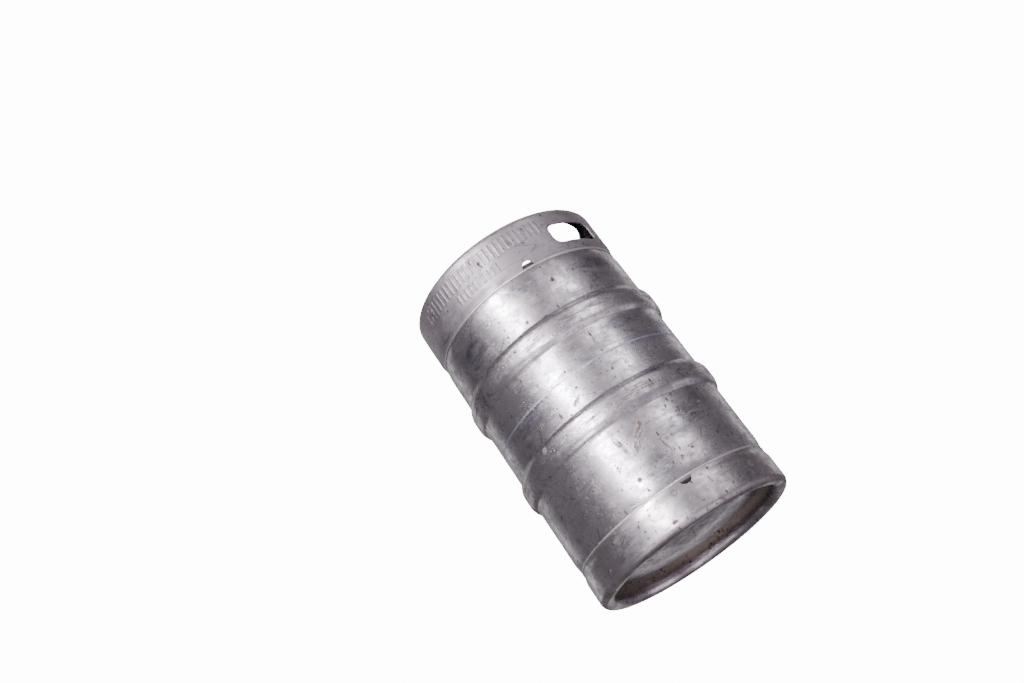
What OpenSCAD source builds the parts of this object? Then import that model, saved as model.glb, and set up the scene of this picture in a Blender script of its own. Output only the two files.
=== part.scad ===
// A stainless beer keg with two rolled chimes, two rolling hoops and a well-type valve and spear.
// Every length is in millimetres. The keg stands on its foot: the origin is the centre of the foot
// and +Z runs up the axis. The handholds lie on the X axis.

/* [Overall] */
// Height from the foot to the top rim
keg_height = 600; // [560:1:720]
// Outer radius of the plain shell
shell_radius = 182.5; // [155:0.5:220]

/* [Shell] */
// Thickness of the shell and the heads
shell_wall = 1.5; // [1.2:0.1:2]
// Height of the lower chime's joint above the foot
lower_joint_height = 65; // [60:1:80]
// Depth of the upper chime's joint below the top rim
upper_joint_depth = 94; // [86:1:112]
// Height of the shoulder's gentle curve
shoulder_rise = 28; // [22:1:34]
// Radius of the shoulder's gentle curve
shoulder_radius = 95; // [85:1:120]
// Radius of the tight curve between the shoulder and the dished head
knuckle_radius = 24; // [18:1:30]
// Angle at which the tight curve runs into the dished head
knuckle_end = 74; // [70:1:78]
// Length of the lower half's straight cone between its chime's joint and the tight curve
lower_cone = 15; // [8:1:18]

/* [Hoops] */
// Height of the lower hoop's middle above the foot
lower_hoop_height = 222; // [200:1:240]
// Depth of the upper hoop's middle below the top rim
upper_hoop_depth = 214; // [190:1:225]
// Full width of a hoop, with its fillets
hoop_width = 56; // [48:1:66]
// Width of the plain crest
hoop_crest = 16; // [10:1:20]
// Height of the crest above the shell
hoop_rise = 8; // [5:0.5:9.5]
// Radius of the fillets at a hoop's foot
hoop_fillet = 7; // [5:0.5:9]

/* [Chimes] */
// Thickness of the chimes
chime_wall = 1.8; // [1.5:0.1:2.2]
// How far the chimes stand out from the plain shell
chime_step = 0.8; // [0.4:0.1:2]
// Height over which a chime flares out from its joint
chime_flare = 18; // [14:1:22]
// Outer radius of the rolled rims
curl_radius = 12.5; // [10:0.5:14]
// Angle that a rolled rim turns through
curl_turn = 190; // [170:5:200]
// Depth that the rolled rims are worn flat
curl_wear = 0.4; // [0.2:0.1:0.6]

/* [Handholds] */
// Width of a handhold
handhold_w = 104; // [86:1:125]
// Height of a handhold
handhold_h = 40; // [33:1:44]
// Radius of a handhold's corners
handhold_corner = 13; // [8:1:16]
// Depth of a handhold's middle below the top rim
handhold_depth = 56; // [50:1:62]

/* [Drain notches] */
// Radius of the half-round drain notches
drain_radius = 11; // [8:0.5:13]
// Turn of the drain notches from the handholds, in degrees
drain_turn = -39; // [-60:1:-30]

/* [Plain marking bars] */
// Height of a bar in the upper row
tall_bar_h = 27; // [20:1:30]
// Height of a bar in the lower row
short_bar_h = 17; // [12:1:20]
// Width of a bar
bar_w = 4; // [3:0.5:6]
// How far the bars stand out of the chime
bar_rise = 0.8; // [0.5:0.1:1.2]
// Number of bars in the upper row
tall_bars = 27; // [9:1:33]
// Number of bars in the lower row
short_bars = 10; // [5:1:12]

/* [Neck] */
// Bore radius of the neck
neck_bore = 26.3; // [25.8:0.1:27]
// Thickness of the neck
neck_wall = 4.7; // [3.5:0.1:8]
// Depth of the neck's top below the top rim
neck_depth = 34; // [30:1:40]
// Length of the neck
neck_length = 30; // [28:1:36]
// Height of the neck's inner seat above its lower end
seat_height = 8; // [6:0.5:10]
// Width of the neck's inner seat
seat_width = 1.9; // [1.5:0.1:2.5]
// Depth of the neck's groove for the retaining ring
groove_depth = 1.4; // [1:0.1:1.8]
// Thickness of the retaining ring
ring_wall = 1.6; // [1.2:0.1:2]

/* [Valve] */
// Bore radius of the well that the coupler enters
well_bore = 21.75; // [21:0.05:22.5]
// Height of the well, with its lugs
well_height = 15.6; // [14:0.1:18]
// Height of the two coupler lugs
lug_h = 5; // [4:0.5:6]
// How far the lugs stand into the well
lug_depth = 2.85; // [2:0.05:3.5]
// Angle of each lug
lug_angle = 50; // [40:1:60]
// Radius of the opening through the gas seat
gas_seat_bore = 17.5; // [16:0.1:18]
// Thickness of the gas seat
gas_seat_wall = 2.2; // [1.5:0.1:3]
// Thickness of the gas seal
seal_h = 4; // [3:0.1:5]
// Radius of the beer opening through the gas seal
beer_opening = 6.5; // [5.5:0.1:6.9]
// Radius of the beer ball
ball_radius = 7.5; // [7.3:0.1:8]
// Outer radius of the down tube
tube_radius = 9.5; // [9.3:0.1:10.5]
// Thickness of the down tube
tube_wall = 1; // [0.8:0.1:1.2]
// Travel of the gas valve
gas_travel = 7; // [5:0.5:9]
// Travel of the beer ball inside its cage
ball_travel = 4; // [3:0.5:5]
// Length of the valve housing's skirt
skirt_h = 9.6; // [8:0.1:12]

/* [Springs] */
// Wire radius of the main spring
main_wire = 1.1; // [0.8:0.1:1.4]
// Mean radius of the main spring
main_coil = 16; // [15:0.1:17]
// Turns of the main spring
main_turns = 6; // [4:1:8]
// Free room below the valve cup for the main spring
main_room = 38; // [32:1:46]
// Wire radius of the ball spring
ball_wire = 0.5; // [0.4:0.1:0.6]
// Mean radius of the ball spring
ball_coil = 5; // [4.5:0.1:5.5]
// Turns of the ball spring
ball_turns = 5; // [4:1:8]
// Height of the ball spring with the ball pressed
ball_rest = 9; // [7:0.5:12]

/* [Hidden] */

$fn = 96;
steel = "#b3b0b3";
dull_steel = "#8f8a8a";
black_rubber = "#1d1c1b";

// Clearances
weld_gap = 0.05;      // between a weld bead and what it joins
nest_gap = 0.25;      // between a chime's lower edge and the shoulder it stands on
fit_gap = 0.1;        // between parts pressed or welded together
slip_gap = 0.4;       // between parts that slide past each other
face_gap = 0.3;       // between a seal and its seat
lift = 6;             // between the spear's open end and the lower head when pressed

// Places worked out from the sizes above
upper_joint = keg_height - upper_joint_depth;
upper_hoop = keg_height - upper_hoop_depth;
girth = (lower_hoop_height + upper_hoop) / 2;
hoop_offset = upper_hoop - girth;
chime_radius = shell_radius + chime_step;
handhold_height = keg_height - handhold_depth;

// Shoulder and head, measured along the axis from the chime's joint
shoulder_end = asin(shoulder_rise / shoulder_radius);
joint_radius = shell_radius - shoulder_radius * (1 - cos(shoulder_end));
upper_cone = 0;
chime_edge = joint_radius + nest_gap + chime_wall;

// Centre of the tight curve after a straight cone
function knuckle_x(cone) =
    joint_radius - cone * sin(shoulder_end) - knuckle_radius * cos(shoulder_end);
function knuckle_u(cone) = cone * cos(shoulder_end) - knuckle_radius * sin(shoulder_end);
// Outer radius of the dished head after that cone, and its centre
function crown_radius(cone) = knuckle_radius + knuckle_x(cone) / cos(knuckle_end);
function crown_u(cone) = knuckle_u(cone) - knuckle_x(cone) * tan(knuckle_end);

// Outer surface of the upper head at radius r
function head_top(r) = upper_joint + crown_u(upper_cone) + sqrt(pow(crown_radius(upper_cone), 2) - r * r);
// Radius of the shoulder's outer surface at v from the joint, where v is below zero
function shoulder_at(v) =
    shell_radius - shoulder_radius + sqrt(pow(shoulder_radius, 2) - pow(shoulder_rise + v, 2));

// Neck and valve, from the top rim down
neck_radius = neck_bore + neck_wall;
neck_chamfer = 1;
neck_top = keg_height - neck_depth;
neck_base = neck_top - neck_length;
seat_top = neck_base + seat_height;
seat_wall = 3;
seat_bore = neck_bore - seat_width;
gasket_h = 1.5;
housing_base = seat_top + gasket_h + 2 * weld_gap;
ring_room = ring_wall + face_gap;
ring_base = housing_base + gas_seat_wall + well_height;
groove_radius = neck_bore + groove_depth;
gas_seat_base = housing_base - face_gap;
well_floor = gas_seat_base + gas_seat_wall;
housing_top = ring_base - fit_gap;
skirt_radius = seat_bore - 2 * fit_gap;
skirt_wall = 2;
skirt_base = housing_base - skirt_h;
seal_top = gas_seat_base - face_gap;
seal_base = seal_top - seal_h;
cup_h = 2.6;
cup_base = seal_base - cup_h;
cup_radius = skirt_radius - skirt_wall - 4 * slip_gap;
sleeve_wall = 2.4;
sleeve_radius = tube_radius + fit_gap + sleeve_wall;
sleeve_h = 12;
tube_bore = tube_radius - tube_wall;
cage_floor_top = cup_base - main_room;
cage_floor_wall = 2;
cage_ring_h = 3;
leg_angle = 26;
legs = 3;
ball_drop = sqrt(pow(ball_radius, 2) - pow(beer_opening, 2));
ball_height = seal_base - ball_drop - face_gap - weld_gap;
ball_under_coil = ball_height - sqrt(pow(ball_radius, 2) - pow(ball_coil, 2));
ball_spring_top = ball_under_coil - face_gap;
ball_cage_wall = 1.5;
ball_cage_top = ball_spring_top - ball_rest - ball_travel;
crown_floor =
    lower_joint_height - crown_u(lower_cone) - crown_radius(lower_cone) + shell_wall;
tube_base = crown_floor + lift + gas_travel;

// Points on an arc about (x, y), n steps from angle a0 to a1
function arc(x, y, r, a0, a1, n = 6) =
    [for (i = [0 : n]) let (a = a0 + (a1 - a0) * i / n) [x + r * cos(a), y + r * sin(a)]];
function reversed(points) = [for (i = [len(points) - 1 : -1 : 0]) points[i]];
// Points on a curve pulled from p0 to p2 by p1, n steps
function pulled(p0, p1, p2, n = 6) =
    [for (i = [0 : n]) let (t = i / n) (1 - t) * (1 - t) * p0 + 2 * t * (1 - t) * p1 + t * t * p2];

// Hoop profile about u = at, inset by d from the outer surface
function hoop_profile(at, d) =
    let (run = (hoop_width - hoop_crest) / 2)
    let (span = (pow(hoop_rise, 2) + pow(run, 2)) / (2 * hoop_rise))
    let (crest = span - hoop_fillet)
    let (turn = asin(run / span))
    let (fillet_x = shell_radius + hoop_fillet)
    let (crest_x = shell_radius + hoop_rise - crest)
    concat(
        arc(fillet_x, at - hoop_width / 2, hoop_fillet + d, 180, 180 - turn, 4),
        arc(crest_x, at - hoop_crest / 2, crest - d, -turn, 0, 5),
        arc(crest_x, at + hoop_crest / 2, crest - d, 0, turn, 5),
        arc(fillet_x, at + hoop_width / 2, hoop_fillet + d, 180 + turn, 180, 4)
    );

// Half-shell profile from the girth weld to the middle of its head, inset by d;
// u runs from the girth, joint is the chime's joint, cone is the length of the straight cone after
// it, and hole is the radius of the head's opening
function shell_profile(joint, cone, hole, d) =
    let (crown = crown_radius(cone) - d)
    concat(
        [[shell_radius - d, girth_half + weld_gap]],
        hoop_profile(hoop_offset, d),
        arc(shell_radius - shoulder_radius, joint - shoulder_rise, shoulder_radius - d, 0, shoulder_end),
        arc(knuckle_x(cone), joint + knuckle_u(cone), knuckle_radius - d, shoulder_end, knuckle_end, 8),
        arc(0, joint + crown_u(cone), crown, knuckle_end, acos(hole / crown), 8)
    );
girth_half = 1.6;

module half_shell(joint, cone, hole) {
    outside = shell_profile(joint, cone, hole, 0);
    inside = shell_profile(joint, cone, hole, shell_wall);
    rotate_extrude() polygon(concat(outside, reversed(inside)));
}

// Chime profile from its joint to its rolled rim, inset by d; v runs from the joint to the rim
function chime_profile(length, d) =
    let (out = chime_radius - chime_edge)
    let (sweep = (pow(chime_flare, 2) + pow(out, 2)) / (4 * out))
    let (turn = asin(chime_flare / 2 / sweep))
    let (centre = length - curl_radius + curl_wear)
    let (flat = d == 0 ? acos((curl_radius - curl_wear) / curl_radius) : 0)
    concat(
        arc(chime_edge + sweep, 0, sweep + d, 180, 180 - turn, 4),
        arc(chime_radius - sweep, chime_flare, sweep - d, -turn, 0, 4),
        arc(chime_radius - curl_radius, centre, curl_radius - d, 0, 90 - flat, 8),
        arc(chime_radius - curl_radius, centre, curl_radius - d, 90 + flat, curl_turn, 9)
    );

module chime(length) {
    rotate_extrude()
        polygon(concat(chime_profile(length, 0), reversed(chime_profile(length, chime_wall))));
}

// Half-round notches that let water drain past the chime's joint
module drain_notches(height) {
    rotate([0, 0, drain_turn])
        translate([0, 0, height])
            rotate([0, 90, 0])
                cylinder(r = drain_radius, h = 2 * chime_radius + 2 * curl_radius, center = true);
}

module handhold_outline() {
    square([handhold_w - 2 * handhold_corner, handhold_h], center = true);
    square([handhold_w, handhold_h - 2 * handhold_corner], center = true);
    for (x = [-1, 1], y = [-1, 1])
        translate([x * (handhold_w / 2 - handhold_corner), y * (handhold_h / 2 - handhold_corner)])
            circle(r = handhold_corner);
}

// A row of plain upright bars, count of them between two angles from the handhold
module marking_row(count, from, to, height, middle) {
    root = 0.6;
    for (i = [0 : count - 1])
        rotate([0, 0, from + (to - from) * i / (count - 1)])
            translate([chime_radius - root, -bar_w / 2, middle - height / 2])
                cube([root + bar_rise, bar_w, height]);
}

tall_row_rise = 22;
row_spacing = 32;
tall_row_height = handhold_height + tall_row_rise;
short_row_height = tall_row_height - row_spacing;
tall_row = [-107, -22];
short_row = [-80, -53];

module upper_chime() {
    color(steel) {
        difference() {
            translate([0, 0, upper_joint]) chime(upper_joint_depth);
            drain_notches(upper_joint);
            translate([0, 0, handhold_height])
                rotate([90, 0, 90])
                    linear_extrude(2 * chime_radius + 2 * curl_radius, center = true) handhold_outline();
        }
        marking_row(tall_bars, tall_row[0], tall_row[1], tall_bar_h, tall_row_height);
        marking_row(short_bars, short_row[0], short_row[1], short_bar_h, short_row_height);
    }
}

module lower_chime() {
    color(steel)
        difference() {
            translate([0, 0, lower_joint_height]) mirror([0, 0, 1]) chime(lower_joint_height);
            drain_notches(lower_joint_height);
        }
}

// Bead in the corner under a chime's lower edge, v measured from the joint
module joint_bead() {
    bead_h = 4;
    bead_out = 0.7;
    inner = [
        for (i = [0 : 4]) let (v = -bead_h + (bead_h - weld_gap) * i / 4) [shoulder_at(v) + weld_gap, v]
    ];
    outer = pulled(
        [chime_edge + bead_out / 2, -weld_gap],
        [chime_edge + 2 * bead_out, -bead_h / 2],
        [shoulder_at(-bead_h) + bead_out, -bead_h]
    );
    rotate_extrude() polygon(concat(inner, outer));
}

module upper_chime_weld() {
    color(dull_steel) translate([0, 0, upper_joint]) joint_bead();
}

module lower_chime_weld() {
    color(dull_steel) translate([0, 0, lower_joint_height]) mirror([0, 0, 1]) joint_bead();
}

module upper_shell() {
    color(steel)
        translate([0, 0, girth]) half_shell(upper_joint - girth, upper_cone, neck_radius + fit_gap);
}

module lower_shell() {
    color(steel)
        translate([0, 0, girth]) mirror([0, 0, 1]) half_shell(girth - lower_joint_height, lower_cone, 0);
}

// Ring of weld between the two half shells, with a low crown inside and out
module girth_weld() {
    crown = 0.3;
    middle = shell_radius - shell_wall / 2;
    reach = shell_wall / 2 + crown;
    color(dull_steel)
        translate([0, 0, girth])
            rotate_extrude()
                polygon([
                    [middle - reach + crown, -girth_half], [middle + reach - crown, -girth_half],
                    [middle + reach, -girth_half / 3], [middle + reach, girth_half / 3],
                    [middle + reach - crown, girth_half], [middle - reach + crown, girth_half],
                    [middle - reach, girth_half / 3], [middle - reach, -girth_half / 3]
                ]);
}

module neck() {
    color(steel)
        rotate_extrude()
            polygon([
                [neck_bore, seat_top - seat_wall - neck_bore + seat_bore],
                [neck_bore, neck_base], [neck_radius, neck_base],
                [neck_radius, neck_top - neck_chamfer],
                [neck_radius - neck_chamfer, neck_top], [neck_bore, neck_top],
                [neck_bore, ring_base + ring_room], [groove_radius, ring_base + ring_room],
                [groove_radius, ring_base], [neck_bore, ring_base],
                [neck_bore, seat_top], [seat_bore, seat_top], [seat_bore, seat_top - seat_wall]
            ]);
}

module neck_weld() {
    bead = 4;
    foot = head_top(neck_radius + bead) + weld_gap;
    color(dull_steel)
        rotate_extrude()
            polygon(concat(
                [[neck_radius + weld_gap, head_top(neck_radius) + weld_gap]],
                pulled(
                    [neck_radius + bead, foot],
                    [neck_radius + bead * 0.7, foot + bead * 0.7],
                    [neck_radius + weld_gap, foot + bead]
                )
            ));
}

module housing_gasket() {
    color(black_rubber)
        translate([0, 0, seat_top + weld_gap])
            difference() {
                cylinder(r = neck_bore - fit_gap, h = gasket_h);
                translate([0, 0, -gasket_h]) cylinder(r = seat_bore + fit_gap, h = 3 * gasket_h);
            }
}

// A flat sector of a ring between radii r0 and r1
module ring_sector(r0, r1, h, angle) {
    rotate([0, 0, -angle / 2]) rotate_extrude(angle = angle) translate([r0, 0]) square([r1 - r0, h]);
}

module valve_housing() {
    housing_radius = neck_bore - fit_gap;
    overlap = 0.5;
    color(steel) {
        rotate_extrude()
            polygon([
                [well_bore, well_floor], [gas_seat_bore, well_floor], [gas_seat_bore, gas_seat_base],
                [skirt_radius - skirt_wall, gas_seat_base], [skirt_radius - skirt_wall, skirt_base],
                [skirt_radius, skirt_base], [skirt_radius, housing_base],
                [housing_radius, housing_base], [housing_radius, housing_top],
                [well_bore, housing_top]
            ]);
        for (turn = [0, 180])
            rotate([0, 0, turn + 90])
                translate([0, 0, housing_top - lug_h])
                    ring_sector(well_bore - lug_depth, well_bore + overlap, lug_h, lug_angle);
    }
}

// Split ring in the neck's groove that holds the valve housing down
module retaining_ring() {
    split = 9;
    cover = 2;
    color(steel)
        translate([0, 0, ring_base + fit_gap])
            difference() {
                cylinder(r = groove_radius - fit_gap, h = ring_wall);
                translate([0, 0, -ring_wall]) cylinder(r = well_bore + cover, h = 3 * ring_wall);
                translate([0, -split / 2, -ring_wall])
                    cube([groove_radius, split, 3 * ring_wall]);
            }
}

// Cage under the valve housing that carries the foot of the main spring and guides the down tube
module spring_cage() {
    ring_top = skirt_base - weld_gap;
    floor_base = cage_floor_top - cage_floor_wall;
    inner = skirt_radius - skirt_wall;
    overlap = 0.5;
    leg_inset = 0.25;
    color(dull_steel) {
        translate([0, 0, ring_top - cage_ring_h])
            ring_sector(inner, skirt_radius, cage_ring_h, 360);
        for (i = [0 : legs - 1])
            rotate([0, 0, i * 360 / legs])
                translate([0, 0, floor_base + overlap])
                    ring_sector(
                        inner + leg_inset, skirt_radius - leg_inset,
                        ring_top - floor_base - 2 * overlap, leg_angle
                    );
        translate([0, 0, floor_base])
            ring_sector(tube_radius + slip_gap, skirt_radius, cage_floor_wall, 360);
    }
}

// Round wire wound with an even pitch, its centre line from z0 to z1
module coil(coil_radius, wire_radius, z0, z1, turns, sides = 8) {
    steps = 18;
    count = turns * steps;
    ring = [
        for (i = [0 : count], j = [0 : sides - 1])
            let (a = 360 * i / steps, b = 360 * j / sides)
            let (r = coil_radius + wire_radius * cos(b))
            [r * cos(a), r * sin(a), z0 + (z1 - z0) * i / count + wire_radius * sin(b)]
    ];
    sleeve = [
        for (i = [0 : count - 1], j = [0 : sides - 1])
            let (k = (j + 1) % sides)
            each [
                [i * sides + j, (i + 1) * sides + j, (i + 1) * sides + k],
                [i * sides + j, (i + 1) * sides + k, i * sides + k]
            ]
    ];
    first = [for (j = [0 : sides - 1]) j];
    last = [for (j = [sides - 1 : -1 : 0]) count * sides + j];
    polyhedron(points = ring, faces = concat(sleeve, [first, last]));
}

module main_spring() {
    color(steel)
        coil(
            main_coil, main_wire,
            cage_floor_top + main_wire + weld_gap, cup_base - main_wire - weld_gap, main_turns
        );
}

module gas_seal() {
    overhang = 0.6;
    color(black_rubber)
        translate([0, 0, seal_base + weld_gap])
            difference() {
                cylinder(r = cup_radius + overhang, h = seal_h - weld_gap);
                translate([0, 0, -seal_h]) cylinder(r = beer_opening, h = 3 * seal_h);
            }
}

// Flanged sleeve on top of the down tube that carries the gas seal and takes the spring's push
module valve_cup() {
    color(steel)
        difference() {
            union() {
                translate([0, 0, cup_base]) cylinder(r = cup_radius, h = cup_h);
                translate([0, 0, cup_base - sleeve_h]) cylinder(r = sleeve_radius, h = sleeve_h + cup_h / 2);
            }
            translate([0, 0, cup_base - 2 * sleeve_h])
                cylinder(r = tube_radius + fit_gap, h = 4 * sleeve_h);
        }
}

// Siphon tube with two notches in its foot, so that beer enters low down
module down_tube() {
    notch = 5;
    tube_top = seal_base - weld_gap;
    color(steel)
        difference() {
            translate([0, 0, tube_base]) cylinder(r = tube_radius, h = tube_top - tube_base);
            translate([0, 0, tube_base - notch])
                cylinder(r = tube_bore, h = tube_top - tube_base + 2 * notch);
            translate([0, 0, tube_base])
                rotate([0, 90, 0]) cylinder(r = notch, h = 3 * tube_radius, center = true);
        }
}

// Pierced disc across the down tube that carries the ball spring
module ball_cage() {
    holes = 4;
    hole_radius = 2.2;
    color(dull_steel)
        translate([0, 0, ball_cage_top - ball_cage_wall])
            difference() {
                cylinder(r = tube_bore - fit_gap, h = ball_cage_wall);
                for (i = [0 : holes - 1])
                    rotate([0, 0, i * 360 / holes])
                        translate([tube_bore / 2, 0, -ball_cage_wall])
                            cylinder(r = hole_radius, h = 3 * ball_cage_wall);
            }
}

module ball_spring() {
    color(steel)
        coil(
            ball_coil, ball_wire,
            ball_cage_top + ball_wire + weld_gap, ball_spring_top - ball_wire, ball_turns, 6
        );
}

module beer_ball() {
    color(steel) translate([0, 0, ball_height]) sphere(r = ball_radius);
}

lower_chime();
lower_chime_weld();
lower_shell();
girth_weld();
upper_shell();
upper_chime_weld();
upper_chime();
neck_weld();
neck();
housing_gasket();
valve_housing();
retaining_ring();
spring_cage();
main_spring();
gas_seal();
valve_cup();
down_tube();
ball_cage();
ball_spring();
beer_ball();
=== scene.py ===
"""A well-used stainless steel beer keg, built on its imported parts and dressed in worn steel.

Every length in the classes below is in millimetres; the finished meshes are in metres.
"""

import sys
import logging
import math
from collections.abc import Callable
from dataclasses import dataclass, field
from enum import Enum

import bpy
from mathutils import Matrix, Vector


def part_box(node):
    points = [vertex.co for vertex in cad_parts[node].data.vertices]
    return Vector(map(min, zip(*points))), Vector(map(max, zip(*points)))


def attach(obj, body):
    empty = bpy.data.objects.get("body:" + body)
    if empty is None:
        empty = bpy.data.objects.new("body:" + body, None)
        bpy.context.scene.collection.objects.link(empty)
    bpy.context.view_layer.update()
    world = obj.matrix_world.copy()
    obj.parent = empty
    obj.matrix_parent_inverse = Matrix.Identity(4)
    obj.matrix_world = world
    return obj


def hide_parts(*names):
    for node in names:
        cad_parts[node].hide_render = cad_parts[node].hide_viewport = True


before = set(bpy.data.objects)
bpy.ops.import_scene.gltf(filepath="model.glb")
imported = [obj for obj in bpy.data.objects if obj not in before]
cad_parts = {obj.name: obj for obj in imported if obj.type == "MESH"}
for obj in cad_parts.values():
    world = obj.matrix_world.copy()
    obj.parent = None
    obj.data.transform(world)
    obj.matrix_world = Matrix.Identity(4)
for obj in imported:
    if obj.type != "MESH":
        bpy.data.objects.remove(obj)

LOG = logging.getLogger("keg")
MM = 0.001
SAME = 1e-6  # mm: points nearer than this are one point
WELD_REACH = 0.02  # mm: vertices nearer than this are joined
PUSH_MIDDLE = (0.5, 0.5, 0.5)  # the middle of a noise's colour
Point = tuple[float, float]
Piece = bpy.types.Object
Material = bpy.types.Material
Tree = bpy.types.NodeTree
Socket = bpy.types.NodeSocket


class Body(Enum):
    """The bodies that the modelled pieces ride on."""

    KEG = "keg"


class Slot(Enum):
    """The record's material slots, one for each kind of modelled piece."""

    CHIME = "chime_steel"
    SHELL = "shell_steel"
    WELD = "weld_bead"


# ---------------------------------------------------------------- materials


def linear(colour: str) -> tuple[float, float, float, float]:
    """Turns an sRGB hex colour into the linear colour that a shader takes.

    Args:
        colour: The colour as "#RRGGBB".

    Returns:
        Red, green and blue from 0 to 1, and an alpha of 1.
    """
    parts = [int(colour[i : i + 2], 16) / 255 for i in (1, 3, 5)]
    r, g, b = (p / 12.92 if p <= 0.04045 else ((p + 0.055) / 1.055) ** 2.4 for p in parts)
    return r, g, b, 1.0


def add(tree: Tree, kind: str, inputs: dict | None = None, **settings) -> bpy.types.Node:
    """Adds a node with its settings and links.

    Args:
        tree: The node tree that the node goes into.
        kind: Blender's name of the node type.
        inputs: A value or another node's output for each named or numbered input.
        **settings: The node's own properties.

    Returns:
        The new node.
    """
    node = tree.nodes.new(kind)
    for name, value in settings.items():
        setattr(node, name, value)
    for key, value in (inputs or {}).items():
        if isinstance(value, Socket):
            tree.links.new(value, node.inputs[key])
        else:
            node.inputs[key].default_value = value
    return node


def new_material(name: str) -> tuple[Material, Tree, Socket]:
    """Makes an empty node material.

    Args:
        name: The material's name.

    Returns:
        The material, its node tree, and the Object coordinates in millimetres.
    """
    material = bpy.data.materials.new(name)
    material.use_nodes = True
    tree = material.node_tree
    tree.nodes.clear()
    place = add(tree, "ShaderNodeTexCoord")
    scaled = add(
        tree, "ShaderNodeVectorMath", {0: place.outputs["Object"], "Scale": 1 / MM},
        operation="SCALE",
    )
    return material, tree, scaled.outputs[0]


def close_material(tree: Tree, inputs: dict, height: Socket, depth: float) -> None:
    """Adds the shader, a bump from a height pattern, and the output.

    Args:
        tree: The material's node tree.
        inputs: The shader's inputs.
        height: The pattern that raises and lowers the surface, from 0 to 1.
        depth: How deep the pattern is, in millimetres.
    """
    bump = add(tree, "ShaderNodeBump", {"Strength": 1.0, "Distance": depth * MM, "Height": height})
    shader = add(tree, "ShaderNodeBsdfPrincipled", {**inputs, "Normal": bump.outputs[0]})
    add(tree, "ShaderNodeOutputMaterial", {"Surface": shader.outputs[0]})


@dataclass(frozen=True)
class Band:
    """A level ring round the keg, for stains, wear and painted shade: its height, half width and
    strength.
    """

    height: float
    reach: float
    strength: float


class Kind(Enum):
    """What a single mark on the steel is."""

    GOUGE = "gouge"
    HEAT = "heat"
    FRESH = "fresh"
    RUST = "rust"


@dataclass(frozen=True)
class Mark:
    """One mark: its azimuth and lean in degrees, its height, and its half width and half rise."""

    azimuth: float
    height: float
    width: float
    rise: float
    lean: float
    kind: Kind


def marks(kind: Kind, *rows: tuple[float, float, float, float, float]) -> tuple[Mark, ...]:
    """Lists marks of one kind.

    Args:
        kind: The kind of mark.
        *rows: Azimuth, height, half width, half rise and lean of each mark.

    Returns:
        The marks.
    """
    return tuple(Mark(*row, kind) for row in rows)


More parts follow.
